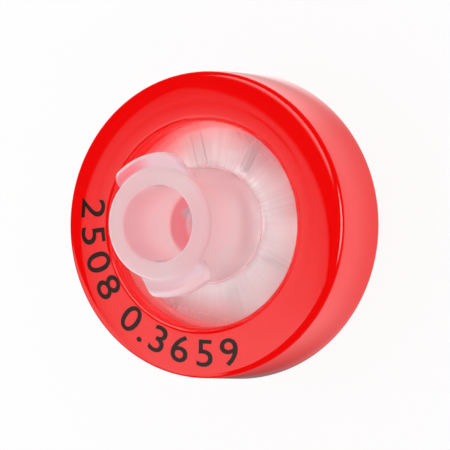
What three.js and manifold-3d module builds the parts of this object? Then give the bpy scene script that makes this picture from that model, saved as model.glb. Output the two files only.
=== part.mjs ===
// Syringe filter for a 13 mm membrane. Two natural polypropylene halves, one with a female
// luer-lock hub and one with a male luer tip, clamp a PTFE membrane, and a red ring moulded
// round their rims holds them together.
//
// Millimetres. +Z runs along the flow axis towards the inlet. The origin is at the centre of
// the outlet tip's end face, so the part stands on its tip at z = 0.

import * as THREE from 'three';
import { mergeVertices } from 'three/addons/utils/BufferGeometryUtils.js';
import Module from 'manifold-3d';

const wasm = await Module();
wasm.setup();

// ---------------------------------------------------------------- driving dimensions

const FACETS = 64;                 // facets round every turned surface
const ARC_STEPS = 3;               // straight steps in a small fillet
const FIT_GAP = 0.02;              // between neighbouring pieces
const EMBED = 0.06;                // how far a rib runs into the wall that it stands on

// Heights along the flow axis
const RING_BACK_Z = 8.0;
const RING_FACE_Z = 12.98;
const RING_LIP = 1.12;             // thickness of the ring where it laps over each disc
const MOUTH_Z = 18.41;

// Ring
const RING_BORE_RADIUS = 5.84;
const RING_FLAT_RADIUS = 7.65;     // where the flat printed face ends and the bevel starts
const RING_BEVEL_RADIUS = 8.38;
const RING_BEVEL_DROP = 0.18;
const RING_ROLL_WIDTH = 0.1;       // the bevel rolls over into the outer wall in two steps
const RING_ROLL_MIDDLE_DROP = 0.08;
const RING_ROLL_DROP = 0.2;
const RING_FRONT_RADIUS = 8.7;
const RING_BACK_RADIUS = 8.83;
const RING_EDGE_FILLET = 0.35;
const RING_LIP_FILLET = 0.27;

// Rims that the ring grips, and the membrane between them
const FLANGE_RADIUS = 7.55;
const CHAMBER_RADIUS = 5.55;       // open area on each side of the membrane
const MEMBRANE_RADIUS = 6.5;
const MEMBRANE_THICKNESS = 0.18;
const MEMBRANE_Z = 10.35;          // underside of the membrane
const WELD_INNER_RADIUS = 6.6;     // outside this the two halves meet
const WELD_Z = 10.43;
const CHAMBER_DEPTH = 0.4;         // above the membrane
const DRAIN_DEPTH = 0.35;          // below the membrane

// Inlet hub: female luer, 6 % taper on the diameter
const LUER_TAPER = 0.03;           // change of radius for each millimetre of length
const MOUTH_RADIUS = 2.15;
const LUER_FLOOR_Z = 12.88;
const INLET_ORIFICE_RADIUS = 1.0;
const HUB_TOP_RADIUS = 3.15;
const HUB_BASE_RADIUS = 3.25;
const HUB_RIM_FILLET = 0.3;
const HUB_ROOT_FILLET = 0.3;

// Lugs of the luer lock, two, half a turn apart
const LUG_RADIUS = 4.0;
const LUG_ROOT_RADIUS = 2.8;       // inside the hub's wall
const LUG_TOP_Z = 18.08;
const LUG_END_THICKNESS = 0.85;
const LUG_TAIL_THICKNESS = 2.05;
const LUG_BLUNT_END_DEG = 141;
const LUG_CORNER = 0.5;
const LUG_SLANT_START_DEG = 90;
const LUG_SLANT_END_DEG = 71;
const LUG_SLANT_END_RADIUS = 3.4;
const LUG_TAIL_DEG = 52;
const LUG_EDGE_BEVEL = 0.14;
const THREAD_LEAD = 5;             // double-start thread, pitch 2.5

// Ribs under the inlet disc, wide and narrow by turns
const INLET_RIB_COUNT = 8;
const INLET_RIB_FIRST_DEG = 16;
const INLET_RIB_WIDTHS = [0.65, 0.3];
const INLET_RIB_HEIGHT = 0.3;
const INLET_RIB_START_RADIUS = 3.55;

// Outlet half: male luer tip
const TIP_END_RADIUS = 1.975;
const TIP_LENGTH = 7.6;
const TIP_END_CHAMFER = 0.12;
const OUTLET_BORE_RADIUS = 1.0;
const OUTLET_BORE_END_RADIUS = 0.95;
const COLLAR_RADIUS = 2.9;
const COLLAR_CHAMFER = 0.2;
const OUTLET_RIB_COUNT = 12;
const OUTLET_RIB_WIDTH = 0.35;
const OUTLET_RIB_START_RADIUS = 1.6;
const OUTLET_SHORT_RIB_START_RADIUS = 3.6;

// Heights that follow from the ones above
const WINDOW_Z = RING_FACE_Z - RING_LIP - FIT_GAP / 2;
const OUTLET_DISC_BACK_Z = RING_BACK_Z + RING_LIP;
const MEMBRANE_TOP_Z = MEMBRANE_Z + MEMBRANE_THICKNESS;
const INLET_LAND_Z = MEMBRANE_TOP_Z + FIT_GAP;
const OUTLET_LAND_Z = MEMBRANE_Z - FIT_GAP;
const INLET_CHAMBER_Z = INLET_LAND_Z + CHAMBER_DEPTH;
const OUTLET_CHAMBER_Z = OUTLET_LAND_Z - DRAIN_DEPTH;

// ---------------------------------------------------------------- shape helpers

const radians = THREE.MathUtils.degToRad;

function polar(radius, degrees) {
  return new THREE.Vector2(radius * Math.cos(radians(degrees)), radius * Math.sin(radians(degrees)));
}

// Points of an arc in a turned profile, both ends included. x is the radius, y the height.
function fillet(centreRadius, centreZ, radius, fromDegrees, toDegrees) {
  const points = [];
  for (let step = 0; step <= ARC_STEPS; step += 1) {
    const degrees = fromDegrees + (toDegrees - fromDegrees) * step / ARC_STEPS;
    points.push(polar(radius, degrees).add(new THREE.Vector2(centreRadius, centreZ)));
  }
  return points;
}

// A closed geometry as a solid that can be joined and cut.
function solidOf(geometry) {
  geometry.deleteAttribute('normal');
  geometry.deleteAttribute('uv');
  const merged = mergeVertices(geometry, 1e-5);
  const corners = merged.index.array;
  const triangles = [];
  for (let i = 0; i < corners.length; i += 3) {
    const [a, b, c] = [corners[i], corners[i + 1], corners[i + 2]];
    if (a !== b && b !== c && c !== a) triangles.push(a, b, c);
  }
  return new wasm.Manifold(new wasm.Mesh({
    numProp: 3,
    vertProperties: Float32Array.from(merged.attributes.position.array),
    triVerts: Uint32Array.from(triangles),
  }));
}

function geometryOf(solid) {
  const mesh = solid.getMesh();
  const geometry = new THREE.BufferGeometry();
  geometry.setAttribute('position', new THREE.BufferAttribute(mesh.vertProperties, 3));
  geometry.setIndex(new THREE.BufferAttribute(mesh.triVerts, 1));
  geometry.computeVertexNormals();
  return geometry;
}

// A ring-shaped solid turned about +Z from a profile that closes on itself. The profile's
// points run clockwise, seen with the radius to the right and the height up. The lathe needs
// them the other way round for its faces to point outwards.
function turned(profile) {
  const loop = [...profile, profile[0].clone()].reverse();
  const lathe = new THREE.LatheGeometry(loop, FACETS);
  lathe.rotateX(Math.PI / 2);
  return solidOf(lathe);
}

// A radial rib with a rounded inner end, standing between two heights.
function rib(startRadius, endRadius, width, bottomZ, topZ, degrees) {
  const outline = new THREE.Shape();
  outline.moveTo(endRadius, -width / 2);
  outline.lineTo(endRadius, width / 2);
  outline.lineTo(startRadius + width / 2, width / 2);
  outline.absarc(startRadius + width / 2, 0, width / 2, Math.PI / 2, Math.PI * 1.5, false);
  const geometry = new THREE.ExtrudeGeometry(outline, {
    depth: topZ - bottomZ,
    bevelEnabled: false,
    curveSegments: 3,
  });
  geometry.translate(0, 0, bottomZ);
  geometry.rotateZ(radians(degrees));
  return solidOf(geometry);
}

// ---------------------------------------------------------------- pieces

// Red polypropylene, C-shaped in section. It laps over the front and back of both rims.
function colourRing() {
  const edgeCentreRadius = RING_BACK_RADIUS - RING_EDGE_FILLET;
  const lipCentreRadius = RING_BORE_RADIUS + RING_LIP_FILLET;
  const bevelZ = RING_FACE_Z - RING_BEVEL_DROP;
  const grooveRadius = FLANGE_RADIUS + FIT_GAP;
  const profile = [
    // front face, outwards
    ...fillet(lipCentreRadius, RING_FACE_Z - RING_LIP_FILLET, RING_LIP_FILLET, 180, 90),
    new THREE.Vector2(RING_FLAT_RADIUS, RING_FACE_Z),
    new THREE.Vector2(RING_BEVEL_RADIUS, bevelZ),
    new THREE.Vector2(RING_FRONT_RADIUS - RING_ROLL_WIDTH, bevelZ - RING_ROLL_MIDDLE_DROP),
    new THREE.Vector2(RING_FRONT_RADIUS, bevelZ - RING_ROLL_DROP),
    // outer wall, with a little draft, and the back face
    ...fillet(edgeCentreRadius, RING_BACK_Z + RING_EDGE_FILLET, RING_EDGE_FILLET, 0, -90),
    ...fillet(lipCentreRadius, RING_BACK_Z + RING_LIP_FILLET, RING_LIP_FILLET, 270, 180),
    // groove that grips the rims
    new THREE.Vector2(RING_BORE_RADIUS, OUTLET_DISC_BACK_Z - FIT_GAP / 2),
    new THREE.Vector2(grooveRadius, OUTLET_DISC_BACK_Z - FIT_GAP / 2),
    new THREE.Vector2(grooveRadius, WINDOW_Z + FIT_GAP),
    new THREE.Vector2(RING_BORE_RADIUS, WINDOW_Z + FIT_GAP),
  ];
  return turned(profile);
}

// Plan outline of one lug: a blunt end with a rounded corner, and a slanted end with a thin
// tail, at the height where it grows out of the hub.
function lugOutline() {
  const cornerDeg = LUG_BLUNT_END_DEG - THREE.MathUtils.radToDeg(
    Math.asin(LUG_CORNER / (LUG_RADIUS - LUG_CORNER)));
  const corner = polar(LUG_RADIUS - LUG_CORNER, cornerDeg);
  const slantEnd = polar(LUG_SLANT_END_RADIUS, LUG_SLANT_END_DEG);
  const tail = polar(HUB_TOP_RADIUS, LUG_TAIL_DEG);
  const tailRoot = polar(LUG_ROOT_RADIUS, LUG_TAIL_DEG);
  const bluntRoot = polar(LUG_ROOT_RADIUS, LUG_BLUNT_END_DEG);
  const outline = new THREE.Shape();
  outline.moveTo(bluntRoot.x, bluntRoot.y);
  outline.absarc(corner.x, corner.y, LUG_CORNER,
    radians(LUG_BLUNT_END_DEG + 90), radians(cornerDeg), true);
  outline.absarc(0, 0, LUG_RADIUS, radians(cornerDeg), radians(LUG_SLANT_START_DEG), true);
  outline.lineTo(slantEnd.x, slantEnd.y);
  outline.lineTo(tail.x, tail.y);
  outline.lineTo(tailRoot.x, tailRoot.y);
  outline.absarc(0, 0, LUG_ROOT_RADIUS, radians(LUG_TAIL_DEG), radians(LUG_BLUNT_END_DEG), false);
  return outline;
}

// One lug. Its top is level, and its underside climbs with the thread towards the blunt end.
function lug() {
  const body = new THREE.ExtrudeGeometry(lugOutline(), {
    depth: LUG_TAIL_THICKNESS - 2 * LUG_EDGE_BEVEL,
    bevelThickness: LUG_EDGE_BEVEL,
    bevelSize: LUG_EDGE_BEVEL,
    bevelOffset: -LUG_EDGE_BEVEL,
    bevelSegments: 1,
    curveSegments: 4,
  });
  body.translate(0, 0, LUG_TOP_Z - LUG_TAIL_THICKNESS + LUG_EDGE_BEVEL);

  // A block whose top leans with the thread takes away what lies under the lug.
  const blockWidth = 3 * LUG_RADIUS;
  const blockHeight = LUG_RADIUS;
  const lean = Math.atan(THREAD_LEAD / (2 * Math.PI * LUG_RADIUS));
  const middleDeg = (LUG_BLUNT_END_DEG + LUG_SLANT_END_DEG) / 2;
  const halfSpan = LUG_RADIUS * radians(LUG_BLUNT_END_DEG - middleDeg);
  const middleThickness = LUG_END_THICKNESS + halfSpan * Math.tan(lean);
  const block = new THREE.BoxGeometry(blockWidth, blockWidth, blockHeight);
  block.translate(0, 0, -blockHeight / 2);
  block.rotateX(lean);
  block.translate(0, 0, LUG_TOP_Z - middleThickness);
  block.rotateZ(radians(middleDeg));
  return solidOf(body).subtract(solidOf(block));
}

// Female luer-lock hub and inlet disc, one moulding in natural polypropylene.
function inletHalf() {
  const floorRadius = MOUTH_RADIUS - LUER_TAPER * (MOUTH_Z - LUER_FLOOR_Z);
  const rimCentreZ = MOUTH_Z - HUB_RIM_FILLET;
  const profile = [
    // luer socket and orifice, upwards
    new THREE.Vector2(INLET_ORIFICE_RADIUS, INLET_CHAMBER_Z),
    new THREE.Vector2(INLET_ORIFICE_RADIUS, LUER_FLOOR_Z),
    new THREE.Vector2(floorRadius, LUER_FLOOR_Z),
    new THREE.Vector2(MOUTH_RADIUS, MOUTH_Z),
    // rim and outer wall of the hub, downwards
    ...fillet(HUB_TOP_RADIUS - HUB_RIM_FILLET, rimCentreZ, HUB_RIM_FILLET, 90, 0),
    ...fillet(HUB_BASE_RADIUS + HUB_ROOT_FILLET, WINDOW_Z + HUB_ROOT_FILLET,
      HUB_ROOT_FILLET, 180, 270),
    // inlet disc: rim, weld face, clamping land and chamber
    new THREE.Vector2(FLANGE_RADIUS, WINDOW_Z),
    new THREE.Vector2(FLANGE_RADIUS, WELD_Z + FIT_GAP),
    new THREE.Vector2(WELD_INNER_RADIUS, WELD_Z + FIT_GAP),
    new THREE.Vector2(WELD_INNER_RADIUS, INLET_LAND_Z),
    new THREE.Vector2(CHAMBER_RADIUS, INLET_LAND_Z),
    new THREE.Vector2(CHAMBER_RADIUS, INLET_CHAMBER_Z),
  ];
  let solid = turned(profile);
  for (let i = 0; i < 2; i += 1) {
    solid = solid.add(lug().rotate([0, 0, i * 180]));
  }
  for (let i = 0; i < INLET_RIB_COUNT; i += 1) {
    const degrees = INLET_RIB_FIRST_DEG + i * 360 / INLET_RIB_COUNT;
    const width = INLET_RIB_WIDTHS[i % INLET_RIB_WIDTHS.length];
    solid = solid.add(rib(INLET_RIB_START_RADIUS, CHAMBER_RADIUS + EMBED, width,
      INLET_CHAMBER_Z - INLET_RIB_HEIGHT, INLET_CHAMBER_Z + EMBED, degrees));
  }
  return solid;
}

// PTFE disc, clamped between the two halves at its edge.
function membrane() {
  const disc = new THREE.CylinderGeometry(
    MEMBRANE_RADIUS, MEMBRANE_RADIUS, MEMBRANE_THICKNESS, FACETS);
  disc.rotateX(Math.PI / 2);
  disc.translate(0, 0, MEMBRANE_Z + MEMBRANE_THICKNESS / 2);
  return solidOf(disc);
}

// Outlet disc, collar and male luer tip, one moulding in natural polypropylene.
function outletHalf() {
  const tipRootRadius = TIP_END_RADIUS + LUER_TAPER * TIP_LENGTH;
  const profile = [
    // bore and tip's end face
    new THREE.Vector2(OUTLET_BORE_RADIUS, OUTLET_CHAMBER_Z),
    new THREE.Vector2(CHAMBER_RADIUS, OUTLET_CHAMBER_Z),
    new THREE.Vector2(CHAMBER_RADIUS, OUTLET_LAND_Z),
    new THREE.Vector2(WELD_INNER_RADIUS, OUTLET_LAND_Z),
    new THREE.Vector2(WELD_INNER_RADIUS, WELD_Z),
    new THREE.Vector2(FLANGE_RADIUS, WELD_Z),
    // rim, back of the disc, collar and tip, downwards
    new THREE.Vector2(FLANGE_RADIUS, OUTLET_DISC_BACK_Z),
    new THREE.Vector2(COLLAR_RADIUS, OUTLET_DISC_BACK_Z),
    new THREE.Vector2(COLLAR_RADIUS, TIP_LENGTH + COLLAR_CHAMFER),
    new THREE.Vector2(COLLAR_RADIUS - COLLAR_CHAMFER, TIP_LENGTH),
    new THREE.Vector2(tipRootRadius, TIP_LENGTH),
    new THREE.Vector2(TIP_END_RADIUS, TIP_END_CHAMFER),
    new THREE.Vector2(TIP_END_RADIUS - TIP_END_CHAMFER, 0),
    new THREE.Vector2(OUTLET_BORE_END_RADIUS, 0),
  ];
  let solid = turned(profile);
  for (let i = 0; i < 2 * OUTLET_RIB_COUNT; i += 1) {
    const start = i % 2 === 0 ? OUTLET_RIB_START_RADIUS : OUTLET_SHORT_RIB_START_RADIUS;
    solid = solid.add(rib(start, CHAMBER_RADIUS + EMBED, OUTLET_RIB_WIDTH,
      OUTLET_CHAMBER_Z - EMBED, OUTLET_LAND_Z - FIT_GAP, i * 180 / OUTLET_RIB_COUNT));
  }
  return solid;
}

// ---------------------------------------------------------------- assembly

const naturalPlastic = { color: 0xe9d9d8, roughness: 0.35, metalness: 0 };
const redPlastic = { color: 0xe8262a, roughness: 0.25, metalness: 0 };
const whiteMembrane = { color: 0xf4f2ee, roughness: 0.8, metalness: 0 };

function piece(name, solid, look) {
  const mesh = new THREE.Mesh(geometryOf(solid), new THREE.MeshStandardMaterial(look));
  mesh.name = name;
  return mesh;
}

const syringeFilter = new THREE.Group();
syringeFilter.add(
  piece('outlet_half', outletHalf(), naturalPlastic),
  piece('membrane', membrane(), whiteMembrane),
  piece('inlet_half', inletHalf(), naturalPlastic),
  piece('colour_ring', colourRing(), redPlastic),
);

export default syringeFilter;
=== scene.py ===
import math

import bmesh
import bpy
from mathutils import Matrix, Vector


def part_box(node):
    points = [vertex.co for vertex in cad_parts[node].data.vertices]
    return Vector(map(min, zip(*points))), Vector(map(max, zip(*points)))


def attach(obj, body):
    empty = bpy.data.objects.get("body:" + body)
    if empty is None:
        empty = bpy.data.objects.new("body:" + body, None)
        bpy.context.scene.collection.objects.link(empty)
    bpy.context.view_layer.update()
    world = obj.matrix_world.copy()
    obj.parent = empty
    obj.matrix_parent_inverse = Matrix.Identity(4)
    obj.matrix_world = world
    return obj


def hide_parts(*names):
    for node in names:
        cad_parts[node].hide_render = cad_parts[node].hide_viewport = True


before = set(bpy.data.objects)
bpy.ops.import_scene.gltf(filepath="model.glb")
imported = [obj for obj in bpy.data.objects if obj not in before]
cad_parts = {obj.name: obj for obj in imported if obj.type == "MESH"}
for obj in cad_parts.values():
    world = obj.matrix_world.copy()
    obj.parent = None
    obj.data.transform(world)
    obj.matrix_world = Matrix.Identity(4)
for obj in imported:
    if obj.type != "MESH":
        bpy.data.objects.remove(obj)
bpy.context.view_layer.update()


# ---------------------------------------------------------------------------------------
# Camera. It looks at the inlet face from 27 degrees off the flow axis, towards +X, through
# a long lens a quarter of a metre away, with +Y up the picture and a slight roll.
mm = 0.001
tilt_off_axis = math.radians(26.965)
camera_roll = math.radians(-1.17)
camera_distance = 250 * mm
ring_low, ring_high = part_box("colour_ring")
front_edge_z = ring_high.z - 0.38 * mm

back = Vector((math.sin(tilt_off_axis), 0, math.cos(tilt_off_axis)))
across = Vector((math.cos(tilt_off_axis), 0, -math.sin(tilt_off_axis)))
right = across * math.cos(camera_roll) - Vector((0, 1, 0)) * math.sin(camera_roll)
eye = Vector((0, 0, front_edge_z)) + back * camera_distance
target = Vector((0, 0, front_edge_z)) + across * 1.136 * mm
back = (eye - target).normalized()
right = (right - back * right.dot(back)).normalized()
up = back.cross(right)
bpy.ops.object.camera_add(location=eye)
camera = bpy.context.object
camera.name = "camera"
camera.rotation_euler = Matrix((right, up, back)).transposed().to_euler()
camera.data.sensor_width = 36
camera.data.lens = 353.5
camera.data.clip_start = 0.01
camera.data.clip_end = 10
bpy.context.scene.camera = camera


# ---------------------------------------------------------------------------------------
# Ring: red polypropylene, moulded round the rims of the two halves, which it holds
# together. Its section is a C: a lip laps over each disc, and a groove grips both rims.
# It has a flat face for print, a shallow bevel outside it, and a plain outer wall.


def draw_outline(name, points):
    """A closed section in the XZ plane, drawn corner by corner, in millimetres, and filled."""
    bpy.ops.object.select_all(action="DESELECT")
    bpy.ops.mesh.primitive_plane_add(size=mm)
    piece = bpy.context.object
    piece.name = piece.data.name = name
    bpy.ops.object.mode_set(mode="EDIT")
    bpy.ops.mesh.merge(type="CENTER")
    corners = [Vector((radius, 0, z)) * mm for radius, z in points]
    bpy.ops.transform.translate(value=corners[0])
    for start, end in zip(corners, corners[1:]):
        bpy.ops.mesh.extrude_vertices_move(TRANSFORM_OT_translate={"value": end - start})
    bpy.ops.mesh.select_all(action="SELECT")
    bpy.ops.mesh.edge_face_add()
    return piece


def pick_vertices(piece, wanted):
    """Selects the vertices of the piece in edit mode whose place meets the test, only those."""
    mesh = bmesh.from_edit_mesh(piece.data)
    bpy.ops.mesh.select_mode(type="VERT")
    bpy.ops.mesh.select_all(action="DESELECT")
    for vertex in mesh.verts:
        vertex.select = wanted(vertex.co)
    mesh.select_flush_mode()
    bmesh.update_edit_mesh(piece.data)


def round_corners(piece, fillets):
    """Rounds corners of an outline. Each fillet is (radius, z, size, steps), in millimetres."""
    for radius, z, size, steps in fillets:
        corner = Vector((radius, 0, z)) * mm
        pick_vertices(piece, lambda place: (place - corner).length < 0.004 * mm)
        bpy.ops.mesh.bevel(affect="VERTICES", offset=size * mm, segments=steps)


def turn_outline(piece, steps):
    """Turns the outline round the flow axis into one closed solid."""
    bpy.ops.mesh.select_all(action="SELECT")
    bpy.ops.mesh.delete(type="ONLY_FACE")
    bpy.ops.mesh.select_all(action="SELECT")
    bpy.ops.mesh.spin(steps=steps, angle=2 * math.pi, center=(0, 0, 0), axis=(0, 0, 1))
    bpy.ops.mesh.select_all(action="SELECT")
    bpy.ops.mesh.remove_doubles(threshold=0.0005 * mm)
    bpy.ops.mesh.normals_make_consistent(inside=False)
    bpy.ops.object.mode_set(mode="OBJECT")


ring_back = ring_low.z / mm
ring_face = ring_high.z / mm
ring_radius = ring_high.x / mm
window_z = ring_face - 1.13
outlet_disc_z = ring_back + 1.12
ring_bore = 5.84
groove = 7.57

# The printed face domes slightly, with a faint sink line, and rolls over into the outer wall:
# radius in millimetres, then slope in degrees.
face_slopes = [
    (6.22, 0), (6.35, 0.6), (6.55, 1.7), (6.75, 2.4), (6.84, 3.5), (6.93, 3.6), (7.03, 2.4),
    (7.12, 2.6), (7.2, 2.85), (7.35, 3.3), (7.5, 3.75), (7.65, 4.3), (7.8, 5.1), (7.95, 6.3),
    (8.1, 8), (8.25, 10.6), (8.4, 15), (8.48, 21), (8.55, 33), (8.61, 48), (8.66, 63),
    (8.69, 77), (8.7, 86)]
face_line = [(face_slopes[0][0], ring_face)]
for (radius, slope), (next_radius, next_slope) in zip(face_slopes, face_slopes[1:]):
    fall = (next_radius - radius) * math.tan(math.radians((slope + next_slope) / 2))
    face_line.append((next_radius, face_line[-1][1] - fall))

ring = draw_outline("moulded_ring", [(ring_bore, ring_face)] + face_line + [
    (ring_radius, ring_back),
    (ring_bore, ring_back),
    (ring_bore, outlet_disc_z - 0.01),
    (groove, outlet_disc_z - 0.01),
    (groove, window_z + 0.01),
    (ring_bore, window_z + 0.01),
])
round_corners(ring, [
    (ring_bore, ring_face, 0.37, 9),
    (ring_radius, ring_back, 0.35, 6),
    (ring_bore, ring_back, 0.27, 5),
])
turn_outline(ring, 384)
bpy.ops.object.shade_smooth_by_angle(angle=math.radians(32))


def moulding_grain():
    """Faint waviness and specks of a moulded surface: a roughness mask and a height."""
    group = bpy.data.node_groups.new("moulding_grain", "ShaderNodeTree")
    sockets = group.interface
    sockets.new_socket("Wave Size", in_out="INPUT", socket_type="NodeSocketFloat")
    sockets.new_socket("Speck Size", in_out="INPUT", socket_type="NodeSocketFloat")
    sockets.new_socket("Waves", in_out="OUTPUT", socket_type="NodeSocketFloat")
    sockets.new_socket("Specks", in_out="OUTPUT", socket_type="NodeSocketFloat")
    nodes, links = group.nodes, group.links
    given = nodes.new("NodeGroupInput")
    result = nodes.new("NodeGroupOutput")
    place = nodes.new("ShaderNodeTexCoord")
    for size, output, detail in (("Wave Size", "Waves", 1.5), ("Speck Size", "Specks", 3.0)):
        noise = nodes.new("ShaderNodeTexNoise")
        noise.inputs["Detail"].default_value = detail
        links.new(place.outputs["Object"], noise.inputs["Vector"])
        links.new(given.outputs[size], noise.inputs["Scale"])
        links.new(noise.outputs["Fac"], result.inputs[output])
    return group


grain_group = moulding_grain()


def new_material(name):
    """A node material. Gives it, its node tree and its Principled shader."""
    material = bpy.data.materials.new(name)
    material.use_nodes = True
    return material, material.node_tree, material.node_tree.nodes["Principled BSDF"]


def add_grain(tree, shader, wave_size, speck_size, height):
    """Gives a shader the moulded surface's slight waviness, and gives its grain's outputs."""
    grain = tree.nodes.new("ShaderNodeGroup")
    grain.node_tree = grain_group
    grain.inputs["Wave Size"].default_value = wave_size
    grain.inputs["Speck Size"].default_value = speck_size
    bump = tree.nodes.new("ShaderNodeBump")
    bump.inputs["Strength"].default_value = 0.35
    bump.inputs["Distance"].default_value = height
    tree.links.new(grain.outputs["Waves"], bump.inputs["Height"])
    tree.links.new(bump.outputs["Normal"], shader.inputs["Normal"])
    return grain.outputs["Waves"], grain.outputs["Specks"]


def calculate(tree, operation, *values):
    """A maths node fed by numbers or by other nodes' values. Gives its result."""
    node = tree.nodes.new("ShaderNodeMath")
    node.operation = operation
    for number, value in enumerate(values):
        if isinstance(value, (int, float)):
            node.inputs[number].default_value = value
        else:
            tree.links.new(value, node.inputs[number])
    return node.outputs["Value"]


def ramp(tree, value, low, high, start, end):
    """A smooth step from start, below low, to end, above high."""
    node = tree.nodes.new("ShaderNodeMapRange")
    node.interpolation_type = "SMOOTHSTEP"
    node.inputs["From Min"].default_value = low
    node.inputs["From Max"].default_value = high
    node.inputs["To Min"].default_value = start
    node.inputs["To Max"].default_value = end
    tree.links.new(value, node.inputs["Value"])
    return node.outputs["Result"]


def blend(tree, share, first, second):
    """Mixes two colours, each a plain (r, g, b) or another node's, by a share from 0 to 1."""
    node = tree.nodes.new("ShaderNodeMix")
    node.data_type = "RGBA"
    for socket, colour in (("A", first), ("B", second)):
        if isinstance(colour, tuple):
            node.inputs[socket].default_value = (*colour, 1)
        else:
            tree.links.new(colour, node.inputs[socket])
    tree.links.new(share, node.inputs["Factor"])
    return node.outputs["Result"]


def all_of(tree, *shares):
    """The product of several masks."""
    product = shares[0]
    for share in shares[1:]:
        product = calculate(tree, "MULTIPLY", product, share)
    return product


def find_place(tree):
    """Where on the part a point is: its place, its x, y and z, and its distance from the axis."""
    place = tree.nodes.new("ShaderNodeTexCoord").outputs["Object"]
    split = tree.nodes.new("ShaderNodeSeparateXYZ")
    tree.links.new(place, split.inputs["Vector"])
    x, y, z = (split.outputs[axis] for axis in "XYZ")
    squares = calculate(
        tree, "ADD", calculate(tree, "MULTIPLY", x, x), calculate(tree, "MULTIPLY", y, y))
    return place, x, y, z, calculate(tree, "SQRT", squares)


def red_plastic():
    """Glossy and even. A painted red glow on the -X side of the lip's bore stands for light through it."""
    material, tree, shader = new_material("red_plastic")
    waves, specks = add_grain(tree, shader, 450, 6000, 0.001 * mm)
    tree.links.new(ramp(tree, specks, 0, 1, 0.03, 0.07), shader.inputs["Roughness"])
    colour = blend(tree, waves, (0.88, 0.001, 0.001), (0.91, 0.002, 0.002))
    tree.links.new(colour, shader.inputs["Base Color"])
    _, x, _, _, radius = find_place(tree)
    # Painted light: a red glow, as emission, on the lip's bore wall, strongest on the -X side
    lip = all_of(tree, ramp(tree, radius, 5.86 * mm, 6.0 * mm, 1, 0),
                 ramp(tree, x, -5.5 * mm, -2 * mm, 0.45, 1), ramp(tree, x, -2 * mm, 1.5 * mm, 1, 0))
    glow = blend(tree, lip, (0.0, 0.0, 0.0), (0.3, 0.004, 0.004))
    tree.links.new(glow, shader.inputs["Emission Color"])
    shader.inputs["Emission Strength"].default_value = 1
    shader.inputs["IOR"].default_value = 1.5
    return material


ring.data.materials.append(red_plastic())
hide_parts("colour_ring")
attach(ring, "root")


# ---------------------------------------------------------------------------------------
# Print: plain figures in black ink, pad-printed on the ring's face along an arc whose centre
# is a little off the ring's. Their feet point outwards, and the film of ink follows the dome.
print_offset = math.radians(29)
print_centre = Vector((math.cos(print_offset), math.sin(print_offset), 0)) * 0.6 * mm
baseline_radius = 8.3
figure_height = 1.64
figure_stretch = 1.16            # across, from the plain letter shape
plain_height = 0.75              # of the plain letter shape
strips = 15                      # each figure is cut across into these, to follow the dome
figures = [("2", 176.2), ("5", 188), ("0", 199.8), ("8", 211.6), ("0", 229.3), (".", 237.4),
           ("3", 245.4), ("6", 256.4), ("5", 268.6), ("9", 280.4)]
printed = []
for figure, degrees in figures:
    bpy.ops.object.select_all(action="DESELECT")
    bpy.ops.object.text_add()
    letter = bpy.context.object
    letter.data.body = figure
    letter.data.align_x = "CENTER"
    letter.data.resolution_u = 6
    letter.data.offset = 0.006
    bpy.ops.object.convert(target="MESH")
    bpy.ops.object.mode_set(mode="EDIT")
    for cut in range(1, strips):
        bpy.ops.mesh.select_all(action="SELECT")
        bpy.ops.mesh.bisect(plane_co=(0, cut * plain_height / strips, 0), plane_no=(0, 1, 0))
    bpy.ops.object.mode_set(mode="OBJECT")
    angle = math.radians(degrees)
    letter.scale = Vector((figure_stretch, 1, 1)) * figure_height / plain_height * mm
    letter.rotation_euler.z = angle + math.pi / 2
    letter.location = print_centre + baseline_radius * mm * Vector(
        (math.cos(angle), math.sin(angle), 0)) + Vector((0, 0, (ring_face + 0.5) * mm))
    bpy.ops.object.transform_apply(location=True, rotation=True, scale=True)
    printed.append(letter)
bpy.ops.object.select_all(action="DESELECT")
for letter in printed:
    letter.select_set(True)
bpy.context.view_layer.objects.active = printed[0]
bpy.ops.object.join()
legend = bpy.context.object
legend.name = legend.data.name = "printed_figures"

# It is laid on the face, and given the thickness of a film
settle = legend.modifiers.new("on_the_face", "SHRINKWRAP")
settle.target = ring
settle.wrap_method = "PROJECT"
settle.use_project_z = True
settle.use_positive_direction = False
settle.use_negative_direction = True
settle.offset = 0.004 * mm
bpy.ops.object.modifier_apply(modifier="on_the_face")
bpy.ops.object.mode_set(mode="EDIT")
bpy.ops.mesh.select_all(action="SELECT")
bpy.ops.mesh.remove_doubles(threshold=0.0005 * mm)
bpy.ops.object.mode_set(mode="OBJECT")
film = legend.modifiers.new("film", "SOLIDIFY")
film.thickness = 0.01 * mm
film.offset = 1
bpy.ops.object.modifier_apply(modifier="film")
bpy.ops.object.shade_smooth_by_angle(angle=math.radians(32))


def black_ink():
    """Nearly black, with a weak gloss."""
    material, tree, shader = new_material("black_ink")
    _, specks = add_grain(tree, shader, 900, 12000, 0.001 * mm)
    tree.links.new(ramp(tree, specks, 0, 1, 0.1, 0.2), shader.inputs["Roughness"])
    shader.inputs["Base Color"].default_value = (0.022, 0.008, 0.005, 1)
    shader.inputs["IOR"].default_value = 1.27
    return material


legend.data.materials.append(black_ink())
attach(legend, "root")


# ---------------------------------------------------------------------------------------
# Inlet half: one moulding in natural polypropylene. The hub is a female luer socket with
# two lugs of a luer lock at its mouth. Below it is the inlet disc, whose rim the ring
# grips, with eight radial ribs on its hidden side that spread the flow over the membrane.
inlet_low, inlet_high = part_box("inlet_half")
mouth_z = inlet_high.z / mm
flange = inlet_high.x / mm
weld_z = inlet_low.z / mm
land_z = weld_z + 0.1
chamber_z = land_z + 0.4
chamber = 5.55
socket_floor = mouth_z - 5.53
hub_radius = 3.15
hub_root = 3.25
lug_radius = 4.0
lug_top = mouth_z - 0.33
lug_end_thickness = 0.85
lug_foot = lug_top - lug_end_thickness

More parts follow.
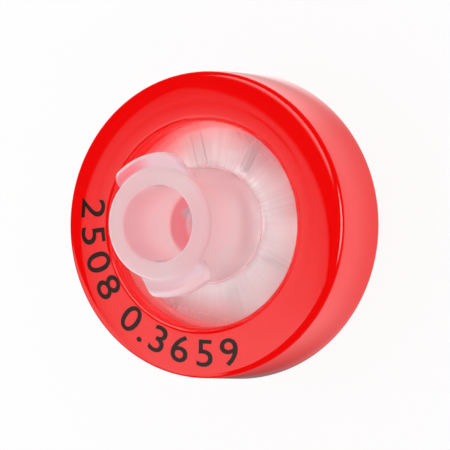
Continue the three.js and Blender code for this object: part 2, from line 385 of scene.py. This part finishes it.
inlet = draw_outline("inlet_moulding", [
    (1.0, chamber_z),
    (1.0, socket_floor),
    (1.984, socket_floor),
    (1.993, socket_floor + 0.3),
    (2.145, mouth_z - 0.2),
    (2.15, mouth_z),
    (hub_radius - 0.12, mouth_z),
    (hub_radius + 0.12, lug_top),
    (lug_radius, lug_top),
    (lug_radius, lug_foot),
    (hub_radius, lug_foot),
    (hub_root - 0.01, window_z + 0.6),
    (hub_root, window_z),
    (hub_root + 0.55, window_z),
    (flange, window_z),
    (flange, weld_z),
    (6.6, weld_z),
    (6.6, land_z),
    (chamber, land_z),
    (chamber, chamber_z),
])
round_corners(inlet, [
    (1.0, socket_floor, 0.12, 3),
    (1.984, socket_floor, 0.15, 4),
    (2.15, mouth_z, 0.07, 3),
    (hub_radius - 0.12, mouth_z, 0.17, 5),
    (hub_radius + 0.12, lug_top, 0.17, 5),
    (lug_radius, lug_top, 0.26, 6),
    (lug_radius, lug_foot, 0.2, 5),
    (hub_radius, lug_foot, 0.2, 4),
    (hub_root, window_z, 0.4, 10),
])
turn_outline(inlet, 480)

# Ribs under the disc
rib_count = 8
rib_first = math.radians(16)
rib_widths = (0.65, 0.3)
rib_height = 0.3
rib_start = 3.55
ribs = []
for number in range(rib_count):
    rib_width = rib_widths[number % 2]
    bpy.ops.object.select_all(action="DESELECT")
    bpy.ops.mesh.primitive_cylinder_add(
        vertices=24, radius=rib_width / 2 * mm, depth=(rib_height + 0.04) * mm,
        location=((rib_start + rib_width / 2) * mm, 0, (chamber_z + 0.02 - rib_height / 2) * mm))
    rib = bpy.context.object
    bpy.ops.object.mode_set(mode="EDIT")
    pick_vertices(rib, lambda place: place.x > 0.01 * mm)
    bpy.ops.transform.translate(value=((chamber - rib_start) * mm, 0, 0))
    bpy.ops.object.mode_set(mode="OBJECT")
    bpy.ops.object.transform_apply(location=True, rotation=True, scale=True)
    rib.rotation_euler.z = rib_first + number * 2 * math.pi / rib_count
    bpy.ops.object.transform_apply(location=False, rotation=True, scale=False)
    ribs.append(rib)
bpy.ops.object.select_all(action="DESELECT")
for rib in ribs:
    rib.select_set(True)
bpy.context.view_layer.objects.active = ribs[0]
bpy.ops.object.join()
bpy.ops.object.select_all(action="DESELECT")
inlet.select_set(True)
bpy.context.view_layer.objects.active = inlet
join_ribs = inlet.modifiers.new("ribs", "BOOLEAN")
join_ribs.operation = "UNION"
join_ribs.solver = "EXACT"
join_ribs.object = ribs[0]
bpy.ops.object.modifier_apply(modifier="ribs")
bpy.data.objects.remove(ribs[0], do_unlink=True)

# The flange at the mouth is pushed back flush with the hub, except over the two lugs, which
# have a blunt end and a slanted one. Their undersides climb with the thread. The two differ a
# little: blunt end, blunt corner, start and end of the slant, end of the tail, in degrees.
lug_angles = {"+Y": (144, 134.5, 91, 71, 52), "-Y": (140, 131, 84, 73, 62)}
lug_stand_out = {"+Y": 1, "-Y": 1.12}
thread_lead = 5.0


def smooth_step(low, high, value):
    """An eased share, from 0 below low to 1 above high."""
    share = min(max((value - low) / (high - low), 0), 1)
    return share * share * (3 - 2 * share)


def lug_reach(degrees, blunt_end, blunt_corner, slant_start, slant_end, tail_end):
    """How far the lug stands out at this angle, from 0, flush with the hub, to 1."""
    if degrees >= blunt_end or degrees <= tail_end:
        return 0
    if degrees > blunt_corner:
        return math.sqrt(1 - ((degrees - blunt_corner) / (blunt_end - blunt_corner)) ** 2)
    tail_share, overlap = 0.25, 4
    tail = tail_share * smooth_step(tail_end, slant_end, degrees)
    return tail + (1 - tail_share) * smooth_step(slant_end - overlap, slant_start, degrees)


def way_round(radius, z):
    """How far round the lug's section a point is, from its top root, as a share."""
    stand_out = lug_radius - hub_radius
    if z > lug_top - 0.26 and radius < lug_radius - 0.001:
        way = radius - hub_radius
    elif radius > lug_radius - 0.21 and z > lug_foot + 0.001:
        way = stand_out + lug_top - z
    else:
        way = stand_out + lug_end_thickness + lug_radius - radius
    return way / (2 * stand_out + lug_end_thickness)


for vertex in inlet.data.vertices:
    radius = math.hypot(vertex.co.x, vertex.co.y) / mm
    z = vertex.co.z / mm
    if radius < hub_radius - 0.01 or z > lug_top + 0.17 or z < lug_foot - 0.25:
        continue
    degrees = math.degrees(math.atan2(vertex.co.y, vertex.co.x)) % 180
    side = "+Y" if vertex.co.y > 0 else "-Y"
    angles = lug_angles[side]
    reach = lug_reach(degrees, *angles)
    thickness = lug_end_thickness + thread_lead * (angles[0] - degrees) / 360
    lug_z = lug_top - (lug_top - z) * thickness / lug_end_thickness
    if z > lug_top:
        lug_z = z
    flush_z = lug_top - way_round(radius, z) * lug_end_thickness
    if radius < hub_radius + 0.005:
        flush_z = z
    new_radius = hub_radius + (radius - hub_radius) * reach * lug_stand_out[side]
    new_z = flush_z + (lug_z - flush_z) * reach
    scale = new_radius / radius
    vertex.co = (vertex.co.x * scale, vertex.co.y * scale, new_z * mm)
bpy.ops.object.shade_smooth_by_angle(angle=math.radians(38))


def natural_plastic():
    """Milky and pale, a little clearer in the thin discs, with painted light: the ring's red light painted
    in, painted highlights, shade and glows.
    """
    material, tree, shader = new_material("natural_plastic")
    _, specks = add_grain(tree, shader, 700, 9000, 0.002 * mm)
    place, x, y, z, radius = find_place(tree)
    flat = tree.nodes.new("ShaderNodeCombineXYZ")
    tree.links.new(x, flat.inputs["X"])
    tree.links.new(y, flat.inputs["Y"])
    around = tree.nodes.new("ShaderNodeVectorMath")
    around.operation = "NORMALIZE"
    tree.links.new(flat.outputs["Vector"], around.inputs[0])

    def wedge(degrees, half_width, strength=1):
        """A soft radial wedge in this direction, fading at its sides, for masks of painted light."""
        node = tree.nodes.new("ShaderNodeVectorMath")
        node.operation = "DOT_PRODUCT"
        tree.links.new(around.outputs["Vector"], node.inputs[0])
        angle = math.radians(degrees)
        node.inputs[1].default_value = (math.cos(angle), math.sin(angle), 0)
        return ramp(tree, node.outputs["Value"], math.cos(math.radians(half_width)),
                    math.cos(math.radians(half_width / 5)), 0, strength)

    def step(value, low, high, start=0, end=1):
        """A smooth step along a distance, whose two ends are in millimetres."""
        return ramp(tree, value, low * mm, high * mm, start, end)

    # Disc: pale streaks of its own, and painted light: palest at the hub and on the +X side, and a
    # painted pink of the ring's red light towards the ring, at a few angles
    streaks = tree.nodes.new("ShaderNodeTexNoise")
    streaks.inputs["Scale"].default_value = 14
    streaks.inputs["Detail"].default_value = 4
    tree.links.new(around.outputs["Vector"], streaks.inputs["Vector"])
    streaks = streaks.outputs["Fac"]
    streaks_and_painted_ring_light = ramp(tree, streaks, 0.4, 0.65, 0, 0.25)
    for one in (wedge(245, 62), wedge(137, 37), wedge(55, 32, 0.85), wedge(45, 55, 0.4),
                wedge(10, 8, 0.45), wedge(104, 6, 0.5), wedge(88, 24, 0.22)):
        streaks_and_painted_ring_light = calculate(tree, "MAXIMUM", streaks_and_painted_ring_light, one)
    disc = blend(tree, ramp(tree, streaks, 0.35, 0.65, 0, 1), (0.94, 0.9, 0.915), (0.985, 1.0, 1.0))
    pink = blend(tree, wedge(50, 42), (0.89, 0.4, 0.42), (0.76, 0.4, 0.43))
    disc = blend(tree, all_of(tree, streaks_and_painted_ring_light, step(radius, 3.5, 5.9)), disc, pink)

    # Painted outlines of the ribs, as they show through the disc: dark lines in its colour, a little
    # to +X and inwards of the ribs
    outline_shift = 0.37 * mm

    def rib_outline(first_degrees, width):
        """Thin lines round four ribs a quarter turn apart, from the first one's direction."""
        turned = tree.nodes.new("ShaderNodeVectorRotate")
        turned.rotation_type = "Z_AXIS"
        turned.inputs["Angle"].default_value = -math.radians(first_degrees)
        turned.inputs["Center"].default_value = (outline_shift, 0, 0)
        tree.links.new(place, turned.inputs["Vector"])
        moved = tree.nodes.new("ShaderNodeSeparateXYZ")
        tree.links.new(turned.outputs["Vector"], moved.inputs["Vector"])
        along = calculate(tree, "ABSOLUTE", calculate(tree, "SUBTRACT", moved.outputs["X"], outline_shift))
        beside = calculate(tree, "ABSOLUTE", moved.outputs["Y"])
        nearest = calculate(tree, "MINIMUM", along, beside)
        furthest = calculate(tree, "MAXIMUM", along, beside)
        round_end = (rib_start - 0.15 + width / 2) * mm
        short = calculate(tree, "MAXIMUM", calculate(tree, "SUBTRACT", round_end, furthest), 0)
        squares = calculate(tree, "ADD", calculate(tree, "MULTIPLY", short, short),
                            calculate(tree, "MULTIPLY", nearest, nearest))
        from_edge = calculate(tree, "SUBTRACT", calculate(tree, "SQRT", squares), width / 2 * mm)
        return step(calculate(tree, "ABSOLUTE", from_edge), 0.02, 0.07, 1, 0)

    outline = calculate(tree, "MAXIMUM", rib_outline(16, rib_widths[0]), rib_outline(64, rib_widths[1]))
    painted_outline_strength = calculate(tree, "MAXIMUM", wedge(83, 50, 0.9), step(radius, 4, 5.5, 0.1, 0.35))
    disc = blend(tree, all_of(tree, outline, painted_outline_strength), disc, (0.78, 0.66, 0.68))

    # Hub, painted light: palest on the +X side near its foot, where light falls, and a painted pink of
    # the ring's red light elsewhere and on that side of the mouth
    foot_side = all_of(tree, wedge(-15, 80), step(z, 13, 17.3, 1, 0.35))
    hub = blend(tree, foot_side, (0.94, 0.735, 0.765), (0.955, 0.97, 0.98))
    hub = blend(tree, step(z, 17.8, 18.1), hub, (0.94, 0.82, 0.83))
    hub = blend(tree, all_of(tree, wedge(-10, 70), step(z, 17.8, 18.1)), hub, (0.92, 0.65, 0.68))

    # Socket: a painted pink of the ring's red light, stronger towards its mouth, above all on the -X side
    in_socket = step(radius, 2.2, 2.3, 1, 0)
    socket = blend(tree, wedge(190, 80), (0.975, 0.8, 0.83), (0.96, 0.7, 0.74))
    socket = blend(tree, step(z, 13.2, 17.5), (1.0, 0.98, 0.985), socket)
    hub = blend(tree, in_socket, hub, socket)

    # Lugs, painted light: pale, with a painted pink of the ring's red light on the -Y one and a painted
    # red near the +Y one's blunt end, and painted highlights on their edges
    lugs = all_of(tree, step(radius, 3.15, 3.3), step(radius, 3.7, 3.85, 1, 0), step(z, 16.8, 17.2))
    lug_colour = blend(tree, step(y, -3.7, -3.1), (0.85, 0.61, 0.66), (0.88, 0.74, 0.8))
    lug_colour = blend(tree, step(y, -1, 1), lug_colour, (0.9, 0.85, 0.95))
    lug_colour = blend(tree, wedge(134, 36), lug_colour, (0.96, 0.28, 0.34))
    hub = blend(tree, lugs, hub, lug_colour)
    # Painted highlights: white on the lugs' outer edges and the mouth's rim, on the -X side
    mouth_edge = all_of(tree, step(radius, 3.0, 3.06), step(z, 18.2, 18.3))
    highlit_edges = all_of(tree, calculate(tree, "MAXIMUM", step(radius, 3.82, 3.9), mouth_edge),
                   wedge(195, 110))
    hub = blend(tree, highlit_edges, hub, (1.0, 0.96, 0.98))

    on_hub = step(z, window_z + 0.05, window_z + 0.4)
    colour = blend(tree, on_hub, disc, hub)

    # Painted shade where the ribs meet the disc, which shows through as dark lines
    rib_roots = all_of(tree, step(z, chamber_z - 0.28, chamber_z - 0.24),
                       step(z, chamber_z - 0.02, chamber_z - 0.005, 1, 0),
                       step(radius, 3.4, 3.5), step(radius, 4.7, 5.1, 1, 0))
    colour = blend(tree, rib_roots, colour, (0.12, 0.05, 0.06))

    # The outlet's collar and tip are plain
    tip = step(z, 8.9, 9.05, 1, 0)
    colour = blend(tree, tip, colour, (0.965, 0.935, 0.94))

    # Painted red light from the ring: the inlet's rim, under the ring's lip, and the end of its socket
    # are painted red
    on_inlet = step(z, 10.38, 10.42)
    weld = all_of(tree, step(radius, 5.5, 5.6), step(z, 10.95, 11.05, 1, 0))
    rim = all_of(tree, calculate(tree, "MAXIMUM", weld, step(radius, 7.4, 7.5)), on_inlet)
    colour = blend(tree, rim, colour, (1.0, 0.22, 0.2))
    socket_end = all_of(tree, step(radius, 1.9, 2.1, 1, 0), step(z, 12.9, 13.4, 1, 0), on_inlet)
    colour = blend(tree, socket_end, colour, (0.86, 0.16, 0.2))

    # Painted shade: the membrane, in shade, as it shows through the orifice, painted round it on the
    # socket's end and a little further on one side
    further = all_of(tree, step(y, 0.1, 0.75, 0, 0.4 * mm), step(y, 0.75, 1.4, 1, 0),
                     ramp(tree, x, -0.6 * mm, 0, 1, 0))
    orifice = step(calculate(tree, "SUBTRACT", radius, further), 0.85, 1.25, 1, 0)
    ground = blend(tree, step(y, -0.5, 0.5), (0.9, 0.55, 0.58), (0.62, 0.55, 0.62))
    colour = blend(tree, all_of(tree, orifice, socket_end), colour, ground)
    tree.links.new(colour, shader.inputs["Base Color"])

    # Painted glows, as emission, for light that comes through the plastic: red in the rim, white on the
    # socket wall, and painted highlights on the edges, at the hub's foot and on its +X side
    rim_glow = blend(tree, step(y, -3, 1), (0.19, 0.02, 0.02), (0.6, 0.02, 0.02))
    glow = blend(tree, rim, (0.0, 0.0, 0.0), rim_glow)
    socket_wall = all_of(tree, in_socket, step(z, 13.0, 13.1), step(z, 13.5, 18, 1, 0))
    glow = blend(tree, socket_wall, glow, (0.11, 0.11, 0.11))
    glow = blend(tree, all_of(tree, highlit_edges, on_hub), glow, (0.1, 0.13, 0.13))
    foot = all_of(tree, step(radius, 3.22, 3.3), step(radius, 3.55, 3.95, 1, 0), wedge(42, 42),
                  ramp(tree, streaks, 0.4, 0.6, 0.3, 1), step(z, 11.8, 11.84), step(z, 12.1, 12.5, 1, 0))
    glow = blend(tree, foot, glow, (0.03, 0.08, 0.075))
    hub_side = all_of(tree, wedge(0, 60), step(z, 12, 14, 1, 0), on_hub)
    glow = blend(tree, hub_side, glow, (0.01, 0.075, 0.075))
    tree.links.new(glow, shader.inputs["Emission Color"])
    shader.inputs["Emission Strength"].default_value = 1

    # The hub and the tip are satin, under a thin gloss on the hub, and the discs are glossy
    satin = calculate(tree, "MULTIPLY", calculate(tree, "MAXIMUM", on_hub, tip), 0.5)
    roughness = calculate(tree, "ADD", ramp(tree, specks, 0, 1, 0.03, 0.07), satin)
    tree.links.new(roughness, shader.inputs["Roughness"])
    tree.links.new(calculate(tree, "MULTIPLY", on_hub, 0.5), shader.inputs["Coat Weight"])
    shader.inputs["Coat Roughness"].default_value = 0
    shader.inputs["IOR"].default_value = 1.49
    shader.inputs["Transmission Weight"].default_value = 0.7
    return material


milky = natural_plastic()
inlet.data.materials.append(milky)
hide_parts("inlet_half")
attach(inlet, "root")


# ---------------------------------------------------------------------------------------
# Outlet half: one moulding in natural polypropylene. Its disc carries the membrane. A short
# collar and the male luer tip stand on its back.
outlet_low, outlet_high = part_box("outlet_half")
outlet_weld = outlet_high.z / mm
outlet_land = outlet_weld - 0.1
drain_z = outlet_land - 0.35
tip_end = 1.975
tip_length = 7.6

outlet = draw_outline("outlet_moulding", [
    (1.0, drain_z),
    (chamber, drain_z),
    (chamber, outlet_land),
    (6.6, outlet_land),
    (6.6, outlet_weld),
    (flange, outlet_weld),
    (flange, outlet_disc_z),
    (2.9, outlet_disc_z),
    (2.9, tip_length),
    (tip_end + 0.228, tip_length),
    (tip_end, 0),
    (0.95, 0),
])
round_corners(outlet, [
    (2.9, outlet_disc_z, 0.15, 3),
    (2.9, tip_length, 0.2, 4),
    (tip_end + 0.228, tip_length, 0.15, 4),
    (tip_end, 0, 0.12, 4),
    (0.95, 0, 0.05, 2),
])
turn_outline(outlet, 256)
bpy.ops.object.shade_smooth_by_angle(angle=math.radians(38))
outlet.data.materials.append(milky)
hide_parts("outlet_half")
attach(outlet, "root")


# ---------------------------------------------------------------------------------------
# Membrane: a white PTFE disc, clamped at its edge between the two halves. It is the pale
# ground that shows through the inlet disc.


def porous_film():
    """White and matt, with a fine tooth."""
    material, tree, shader = new_material("membrane")
    _, specks = add_grain(tree, shader, 2500, 20000, 0.006 * mm)
    tree.links.new(ramp(tree, specks, 0, 1, 0.75, 0.95), shader.inputs["Roughness"])
    colour = blend(tree, specks, (0.93, 0.92, 0.91), (0.96, 0.95, 0.94))
    tree.links.new(colour, shader.inputs["Base Color"])
    return material


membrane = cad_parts["membrane"]
membrane.material_slots[0].material = porous_film()


# ---------------------------------------------------------------------------------------
# Studio: a white floor under the tip, even white light all round, and, for glossy plastic
# to mirror only, a few lamps in dark surroundings.
bpy.ops.object.select_all(action="DESELECT")
bpy.ops.mesh.primitive_plane_add(size=4)
floor = bpy.context.object
floor.name = "floor"
floor_look, tree, shader = new_material("floor")
shader.inputs["Base Color"].default_value = (0.97, 0.97, 0.97, 1)
shader.inputs["Roughness"].default_value = 1
shader.inputs["Specular IOR Level"].default_value = 0


def blend_shaders(share, first, second):
    """Mixes two shaders' outputs by another node's value."""
    node = tree.nodes.new("ShaderNodeMixShader")
    for socket, source in enumerate((share, first, second)):
        tree.links.new(source, node.inputs[socket])
    return node.outputs["Shader"]


def mirror_rays(rays):
    """Picks the rays that glossy plastic mirrors."""
    return all_of(tree, rays.outputs["Is Glossy Ray"], rays.outputs["Is Reflection Ray"],
                  calculate(tree, "SUBTRACT", 1, rays.outputs["Is Singular Ray"]))


# The floor is seen nearly white, with a faint shadow, and lights the object from below as a
# lamp would
rays = tree.nodes.new("ShaderNodeLightPath")
floor_glow = tree.nodes.new("ShaderNodeEmission")
tree.links.new(ramp(tree, rays.outputs["Is Diffuse Ray"], 0, 1, 1, 1.25), floor_glow.inputs["Strength"])
glow_share = calculate(tree, "ADD", calculate(tree, "MULTIPLY", rays.outputs["Is Camera Ray"], 0.86),
                       rays.outputs["Is Diffuse Ray"])
seen = blend_shaders(glow_share, shader.outputs["BSDF"], floor_glow.outputs["Emission"])

# In mirrored rays it is bright near the object only, with a shadow on the -Y side
place = tree.nodes.new("ShaderNodeTexCoord").outputs["Object"]
distance = tree.nodes.new("ShaderNodeVectorMath")
distance.operation = "LENGTH"
tree.links.new(place, distance.inputs[0])
distance = distance.outputs["Value"]
outwards = tree.nodes.new("ShaderNodeVectorMath")
outwards.operation = "NORMALIZE"
tree.links.new(place, outwards.inputs[0])


def along(tree, direction, x, y, z):
    """How far a direction points along (x, y, z), as the cosine for a length of 1."""
    node = tree.nodes.new("ShaderNodeVectorMath")
    node.operation = "DOT_PRODUCT"
    tree.links.new(direction, node.inputs[0])
    node.inputs[1].default_value = (x, y, z)
    return node.outputs["Value"]


outwards = outwards.outputs["Vector"]
far_dark = ramp(tree, distance, 18 * mm, 32 * mm, 1, 0.05)
close_dark = calculate(tree, "ADD", ramp(tree, distance, 11.5 * mm, 16.5 * mm, 0.5, 1.2),
                       ramp(tree, distance, 10.5 * mm, 12 * mm, 0.35, 0))
mirror_glow = tree.nodes.new("ShaderNodeEmission")
tree.links.new(all_of(tree, far_dark, close_dark,
                      ramp(tree, along(tree, outwards, -0.45, -0.89, 0), 0.35, 0.98, 1, 0.25),
                      ramp(tree, along(tree, outwards, -0.2, 0.98, 0), 0.6, 0.95, 1, 1.45)),
               mirror_glow.inputs["Strength"])
seen = blend_shaders(mirror_rays(rays), seen, mirror_glow.outputs["Emission"])

# From below it is clear
clear = tree.nodes.new("ShaderNodeBsdfTransparent").outputs["BSDF"]
from_below = tree.nodes.new("ShaderNodeNewGeometry").outputs["Backfacing"]
tree.links.new(blend_shaders(from_below, seen, clear), tree.nodes["Material Output"].inputs["Surface"])
floor.data.materials.append(floor_look)

world = bpy.data.worlds.new("studio")
bpy.context.scene.world = world
world.use_nodes = True
tree = world.node_tree
direction = tree.nodes.new("ShaderNodeTexCoord").outputs["Generated"]


def towards(x, y, z):
    """How far a direction points along (x, y, z), as the cosine."""
    return along(tree, direction, *Vector((x, y, z)).normalized())


# Mirrored surroundings: a big square lamp, up on the -Y side, whose corner is near the top,
# fading towards its sides; a low one beside it; two slim lamps; near black between them.
lamp = ramp(tree, towards(0.82, -0.566, -0.088), -0.02, 0.01, 1.85, 0)
for past_side in (towards(0.586, 0.797, 0.145), towards(-0.640, 0.568, -0.517)):
    lamp = all_of(tree, lamp, ramp(tree, past_side, -0.02, 0.005, 1, 0),
                  ramp(tree, past_side, -0.22, 0, 1, 0.4))
low_lamp = ramp(tree, towards(-0.75, -0.6, 0.25), 0.825, 0.86, 0.02, 1.4)
side_lamp = ramp(tree, towards(0.87, 0.02, 0.45), 0.93, 0.97, 0, 7)
off_strip = calculate(tree, "ABSOLUTE", towards(-0.6854, -0.643, 0.341))
strip_lamp = all_of(tree, ramp(tree, off_strip, 0.08, 0.26, 3.6, 0),
                    ramp(tree, towards(-0.02, 0.58, 0.82), 0.88, 0.94, 0, 1))
mirrored = calculate(tree, "ADD", calculate(tree, "MAXIMUM", lamp, low_lamp),
                     calculate(tree, "ADD", strip_lamp, side_lamp))

# All other rays meet even white light, brighter through the milky plastic
rays = tree.nodes.new("ShaderNodeLightPath")
even = ramp(tree, rays.outputs["Is Transmission Ray"], 0, 1, 1, 2.38)
in_mirror = mirror_rays(rays)
in_others = calculate(tree, "SUBTRACT", 1, in_mirror)
strength = calculate(tree, "ADD", all_of(tree, in_mirror, mirrored), all_of(tree, in_others, even))
surround = tree.nodes["Background"]
tree.links.new(strength, surround.inputs["Strength"])
surround.inputs["Color"].default_value = (1, 1, 1, 1)

bpy.context.scene.cycles.max_bounces = 24
bpy.context.scene.cycles.transmission_bounces = 24
bpy.context.scene.cycles.diffuse_bounces = 8
bpy.context.scene.view_settings.view_transform = "Standard"
